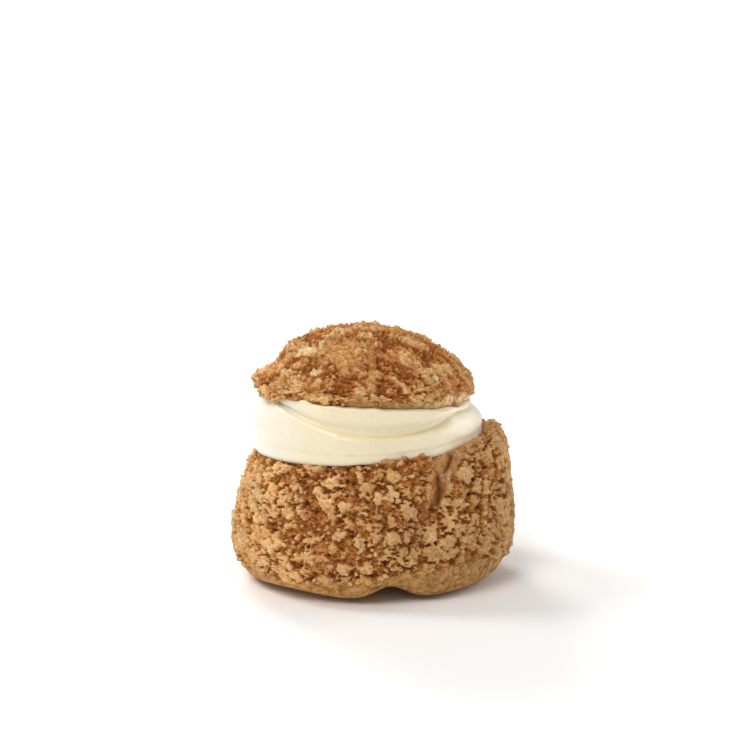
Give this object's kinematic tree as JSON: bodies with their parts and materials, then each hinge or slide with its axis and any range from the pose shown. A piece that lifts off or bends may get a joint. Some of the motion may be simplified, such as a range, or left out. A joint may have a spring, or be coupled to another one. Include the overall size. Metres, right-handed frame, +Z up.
{
  "type": "cream puff",
  "caption": "Choux bun with a cracked craquelin crust, cut open and filled with a swirl of pale cream under its own domed lid.",
  "frame": {"origin": "on the floor under the middle of the puff's bounding box", "axes": "+Z up; -Y is the front, where the base is pinched; +X to the right seen from the front, where the base's rim stands highest"},
  "size_m": [0.0724, 0.0696, 0.0636],
  "materials": {
    "base_crust": "baked crumb crust, matte",
    "cream": "whipped cream, soft satin",
    "lid_crust": "baked crumb crust, matte"
  },
  "bodies": {
    "root": {"base": "base_crust", "cream": "cream", "lid": "lid_crust"}
  },
  "joints": []
}
